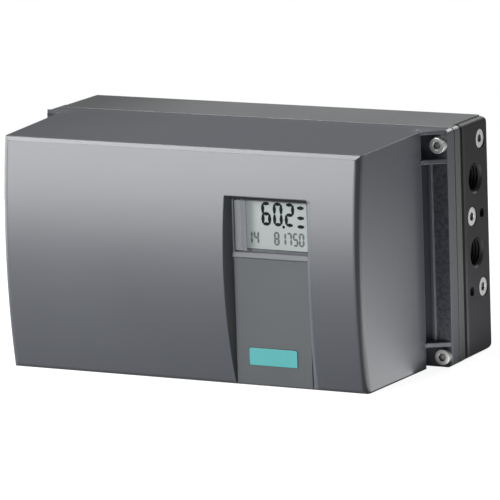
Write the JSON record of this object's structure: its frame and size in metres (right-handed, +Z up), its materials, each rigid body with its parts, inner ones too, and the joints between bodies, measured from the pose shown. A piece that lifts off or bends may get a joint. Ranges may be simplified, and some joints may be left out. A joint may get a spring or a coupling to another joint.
{
  "type": "valve positioner",
  "caption": "Dark grey box-shaped electropneumatic valve positioner with a bulged lift-off cover, display window, threaded air ports at the side and a feedback shaft at the rear.",
  "frame": {"origin": "on the feedback shaft's axis, in the plane of the rear face, which is the centre of the rear bolt pattern", "axes": "+X to the right seen from the front, along the housing's width; +Y out of the rear face, along the feedback shaft; +Z up"},
  "size_m": [0.209, 0.1185, 0.0974],
  "materials": {
    "housing_grey": "semi-gloss moulded plastic, fine grain",
    "block_black": "matte black plastic",
    "module_black": "matte black plastic",
    "panel_grey": "satin grey plastic",
    "part_grey": "satin grey plastic",
    "rubber": "black elastomer",
    "steel": "stainless steel",
    "brass": "turned brass",
    "alloy": "milled aluminium",
    "white_plastic": "white acetal plastic",
    "board": "green glass-fibre board",
    "teal": "teal inlay",
    "yellow": "yellow plastic",
    "display": "grey-green display glass",
    "window": "clear polycarbonate"
  },
  "bodies": {
    "housing": {"base_housing": "housing_grey", "mounting_inserts": "brass", "silencer": "brass", "shaft_bush": "brass", "cover_gasket": "rubber", "gland_seal": "rubber", "entry_seals": "rubber", "connection_block": "block_black", "vent_plug": "block_black", "gland_body": "block_black", "gland_nut": "block_black", "blanking_plug": "block_black", "block_screws": "steel", "standoffs": "steel", "terminal_screws": "steel", "module_screws": "steel", "plate_posts": "steel", "plate_screws": "steel", "valve_block": "alloy", "gear_plate": "alloy", "pilot_valves": "module_black", "carrier": "module_black", "board_parts": "module_black", "board_link": "module_black", "module_cover": "module_black", "lcd_bezel": "module_black", "lcd_backlight": "white_plastic", "main_board": "board", "display_board": "board", "terminal_blocks": "part_grey", "key_switches": "part_grey", "potentiometer": "part_grey", "lcd_glass": "display"},
    "cover": {"cover": "housing_grey", "window": "window", "front_plate": "panel_grey", "name_plate": "teal", "cover_screws": "steel", "screw_washers": "steel"},
    "shaft": {"feedback_shaft": "steel", "shaft_clip": "steel", "shaft_gear": "white_plastic"},
    "spindle": {"pot_spindle": "steel", "pot_pinion": "brass", "clutch_wheel": "yellow"},
    "mode_key": {"key_mode": "white_plastic"},
    "down_key": {"key_down": "white_plastic"},
    "up_key": {"key_up": "white_plastic"},
    "selector": {"ratio_selector": "yellow"},
    "fill_restrictor": {"restrictor_fill": "brass"},
    "vent_restrictor": {"restrictor_vent": "brass"},
    "purge": {"purge_switch": "white_plastic"}
  },
  "joints": [
    {"name": "cover_lift", "type": "slide", "parent": "housing", "child": "cover", "axis": [0, -1, 0], "range_m": [0, 0.11]},
    {"name": "shaft_turn", "type": "hinge", "parent": "housing", "child": "shaft", "pos_m": [0, 0, 0], "axis": [0, 1, 0], "range_deg": [-50, 50]},
    {"name": "spindle_turn", "type": "hinge", "parent": "housing", "child": "spindle", "pos_m": [-0.032, 0, 0], "axis": [0, 1, 0], "range_deg": [-150, 150]},
    {"name": "mode_key_push", "type": "slide", "parent": "housing", "child": "mode_key", "axis": [0, 1, 0], "range_m": [0, 0.0008], "stiffness_N_per_m": 1000},
    {"name": "down_key_push", "type": "slide", "parent": "housing", "child": "down_key", "axis": [0, 1, 0], "range_m": [0, 0.0008], "stiffness_N_per_m": 1000},
    {"name": "up_key_push", "type": "slide", "parent": "housing", "child": "up_key", "axis": [0, 1, 0], "range_m": [0, 0.0008], "stiffness_N_per_m": 1000},
    {"name": "selector_turn", "type": "hinge", "parent": "housing", "child": "selector", "pos_m": [-0.041, -0.0215, -0.02], "axis": [0, -1, 0], "range_deg": [0, 40]},
    {"name": "fill_restrictor_turn", "type": "hinge", "parent": "housing", "child": "fill_restrictor", "pos_m": [0.07075, -0.022, 0.028], "axis": [0, 1, 0], "range_deg": [0, 360]},
    {"name": "vent_restrictor_turn", "type": "hinge", "parent": "housing", "child": "vent_restrictor", "pos_m": [0.07075, -0.022, 0.016], "axis": [0, 1, 0], "range_deg": [0, 360]},
    {"name": "purge_turn", "type": "hinge", "parent": "housing", "child": "purge", "pos_m": [0.07075, -0.022, 0.002], "axis": [0, 1, 0], "range_deg": [0, 90]}
  ],
  "couplings": [
    {"joint": "spindle_turn", "follows": "shaft_turn", "ratio": -3}
  ]
}
